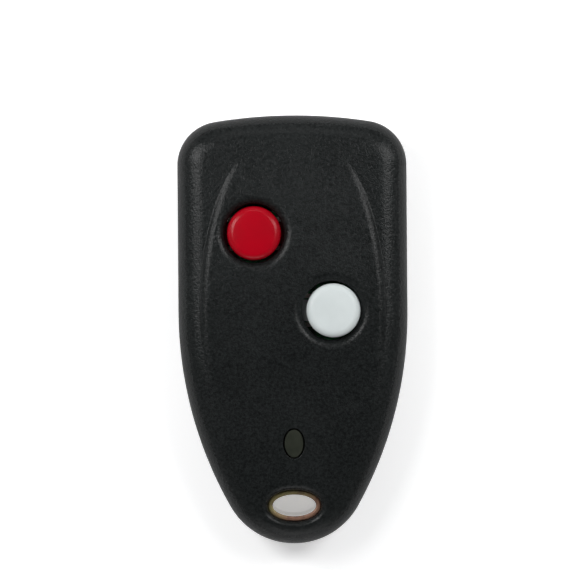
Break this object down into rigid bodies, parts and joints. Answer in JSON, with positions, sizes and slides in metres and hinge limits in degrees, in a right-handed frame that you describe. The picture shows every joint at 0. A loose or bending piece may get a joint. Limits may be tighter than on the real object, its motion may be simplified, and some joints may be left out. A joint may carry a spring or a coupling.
{
  "type": "alarm key fob",
  "caption": "Pocket radio key fob with a rounded case, recessed round push buttons, an oval lamp window and an oval eyelet for a key ring.",
  "frame": {"origin": "middle of the flat back, under the middle of the case's length", "axes": "+X to the right across the face, +Y towards the battery end, +Z out of the face with the buttons"},
  "size_m": [0.036, 0.0674, 0.0152],
  "materials": {
    "case_plastic": "fine spark-eroded texture, near black",
    "window_plastic": "smooth smoked translucent moulding",
    "eyelet_metal": "tarnished brown brass",
    "screw_steel": "bright zinc plated steel",
    "red_plastic": "smooth satin red",
    "white_plastic": "smooth satin white",
    "can_steel": "drawn nickel plated steel",
    "sleeve_film": "bare shrunk film",
    "contact_plate": "nickel plated strip",
    "board_laminate": "green solder mask over glass laminate",
    "antenna_tin": "tinned copper",
    "switch_plastic": "moulded black",
    "lamp_plastic": "white reflector",
    "chip_plastic": "moulded black epoxy",
    "chip_ceramic": "sintered tan ceramic",
    "coil_copper": "enamelled copper wire"
  },
  "bodies": {
    "housing": {"antenna_loop": "antenna_tin", "back_cover": "case_plastic", "battery_can": "can_steel", "battery_sleeve": "sleeve_film", "case_screw": "screw_steel", "chip_capacitors": "chip_ceramic", "chip_resistors": "chip_plastic", "circuit_board": "board_laminate", "encoder_chip": "chip_plastic", "encoder_legs": "antenna_tin", "front_cover": "case_plastic", "keyring_eyelet": "eyelet_metal", "led_window": "window_plastic", "negative_contact": "contact_plate", "negative_spring": "contact_plate", "positive_contact": "contact_plate", "red_switch_base": "switch_plastic", "red_switch_cover": "contact_plate", "red_switch_dome": "contact_plate", "red_switch_legs": "antenna_tin", "rf_coil": "coil_copper", "rf_transistor": "chip_plastic", "saw_resonator": "can_steel", "status_led": "lamp_plastic", "transistor_legs": "antenna_tin", "white_switch_base": "switch_plastic", "white_switch_cover": "contact_plate", "white_switch_dome": "contact_plate", "white_switch_legs": "antenna_tin"},
    "red_button": {"red_button_cap": "red_plastic"},
    "white_button": {"white_button_cap": "white_plastic"},
    "red_plunger": {"red_switch_plunger": "switch_plastic"},
    "white_plunger": {"white_switch_plunger": "switch_plastic"}
  },
  "joints": [
    {"name": "red_button_press", "type": "slide", "parent": "housing", "child": "red_button", "axis": [0, 0, -1], "range_m": [0, 0.00025], "stiffness_N_per_m": 60, "springref_m": -0.0005},
    {"name": "red_plunger_press", "type": "slide", "parent": "housing", "child": "red_plunger", "axis": [0, 0, -1], "range_m": [0, 0.00025], "deforming": ["red_switch_dome"]},
    {"name": "white_button_press", "type": "slide", "parent": "housing", "child": "white_button", "axis": [0, 0, -1], "range_m": [0, 0.00025], "stiffness_N_per_m": 60, "springref_m": -0.0005},
    {"name": "white_plunger_press", "type": "slide", "parent": "housing", "child": "white_plunger", "axis": [0, 0, -1], "range_m": [0, 0.00025], "deforming": ["white_switch_dome"]}
  ],
  "couplings": [
    {"joint": "red_plunger_press", "follows": "red_button_press", "ratio": 1},
    {"joint": "white_plunger_press", "follows": "white_button_press", "ratio": 1}
  ]
}
